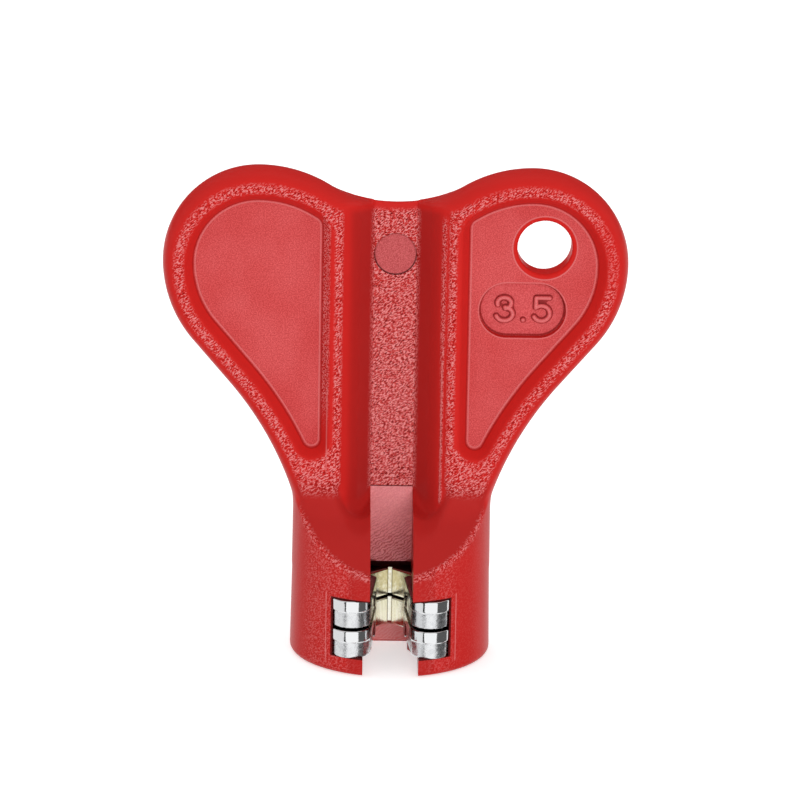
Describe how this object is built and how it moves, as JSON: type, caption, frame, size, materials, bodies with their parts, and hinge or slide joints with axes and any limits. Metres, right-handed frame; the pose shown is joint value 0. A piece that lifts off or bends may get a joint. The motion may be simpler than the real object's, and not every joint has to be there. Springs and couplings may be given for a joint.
{
  "type": "spoke wrench",
  "caption": "Butterfly-shaped moulded spoke wrench with a front spoke channel and a slotted barrel that holds stacked steel nipple jaws.",
  "frame": {"origin": "on the axis of the barrel, in the plane of the barrel's bottom face", "axes": "+X to the wing with the hanging hole, +Y away from the open side of the spoke channel, +Z along the barrel's axis towards the wings"},
  "size_m": [0.051, 0.0219, 0.0549],
  "materials": {
    "red_plastic": "satin, fine grain",
    "plated_steel": "bright plated, punched edges"
  },
  "bodies": {
    "root": {"moulded_handle": "red_plastic", "upper_jaw_plate": "plated_steel", "lower_jaw_plate": "plated_steel"}
  },
  "joints": []
}
